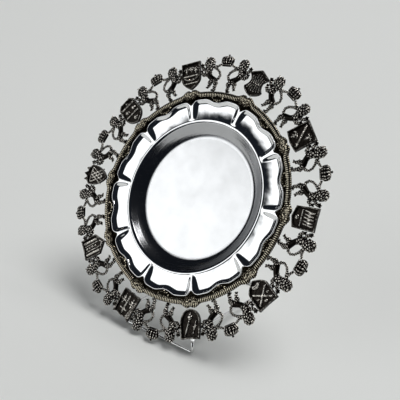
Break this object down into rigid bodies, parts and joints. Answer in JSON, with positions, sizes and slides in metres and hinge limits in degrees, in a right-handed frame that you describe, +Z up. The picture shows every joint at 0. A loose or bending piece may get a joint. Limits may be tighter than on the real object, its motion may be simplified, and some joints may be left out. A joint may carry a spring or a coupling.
{
  "type": "paten plate",
  "caption": "Lobed silver display plate with an openwork border of lions, shields and crowns, leaning on a folding wire foot.",
  "frame": {"origin": "on the table, at the middle of the underside of the front foot bar", "axes": "+X to the viewer's right along the foot bar, +Y to the back, +Z up, in the leaning pose of use"},
  "size_m": [0.2433, 0.139, 0.2082],
  "materials": {
    "polished_silver": "polished silver plate, spun, with fine circular brushing in the well",
    "antique_silver": "cast, antiqued silver with dark recesses",
    "gilt_rope": "cast rope moulding, warm worn silver with dark recesses",
    "wire": "bright drawn wire"
  },
  "bodies": {
    "plate": {"dish": "polished_silver", "border_band_01": "gilt_rope", "border_band_02": "gilt_rope", "border_band_03": "gilt_rope", "border_band_04": "gilt_rope", "border_band_05": "gilt_rope", "border_band_06": "gilt_rope", "border_band_07": "gilt_rope", "border_band_08": "gilt_rope", "border_band_09": "gilt_rope", "border_band_10": "gilt_rope", "shield_01": "antique_silver", "shield_02": "antique_silver", "shield_03": "antique_silver", "shield_04": "antique_silver", "shield_05": "antique_silver", "shield_06": "antique_silver", "shield_07": "antique_silver", "shield_08": "antique_silver", "shield_09": "antique_silver", "shield_10": "antique_silver", "lion_left_01": "antique_silver", "lion_left_02": "antique_silver", "lion_left_03": "antique_silver", "lion_left_04": "antique_silver", "lion_left_05": "antique_silver", "lion_left_06": "antique_silver", "lion_left_07": "antique_silver", "lion_left_08": "antique_silver", "lion_left_09": "antique_silver", "lion_left_10": "antique_silver", "lion_right_01": "antique_silver", "lion_right_02": "antique_silver", "lion_right_03": "antique_silver", "lion_right_04": "antique_silver", "lion_right_05": "antique_silver", "lion_right_06": "antique_silver", "lion_right_07": "antique_silver", "lion_right_08": "antique_silver", "lion_right_09": "antique_silver", "lion_right_10": "antique_silver", "crown_01": "antique_silver", "crown_02": "antique_silver", "crown_03": "antique_silver", "crown_04": "antique_silver", "crown_05": "antique_silver", "crown_06": "antique_silver", "crown_07": "antique_silver", "crown_08": "antique_silver", "crown_09": "antique_silver", "crown_10": "antique_silver", "front_foot": "wire", "hinge_lug_left": "wire", "hinge_lug_right": "wire"},
    "rear_leg": {"rear_leg": "wire"}
  },
  "joints": [
    {"name": "rear_leg_fold", "type": "hinge", "parent": "plate", "child": "rear_leg", "pos_m": [0, 0.00528, 0.0156], "axis": [1, 0, 0], "range_deg": [0, 54]}
  ]
}
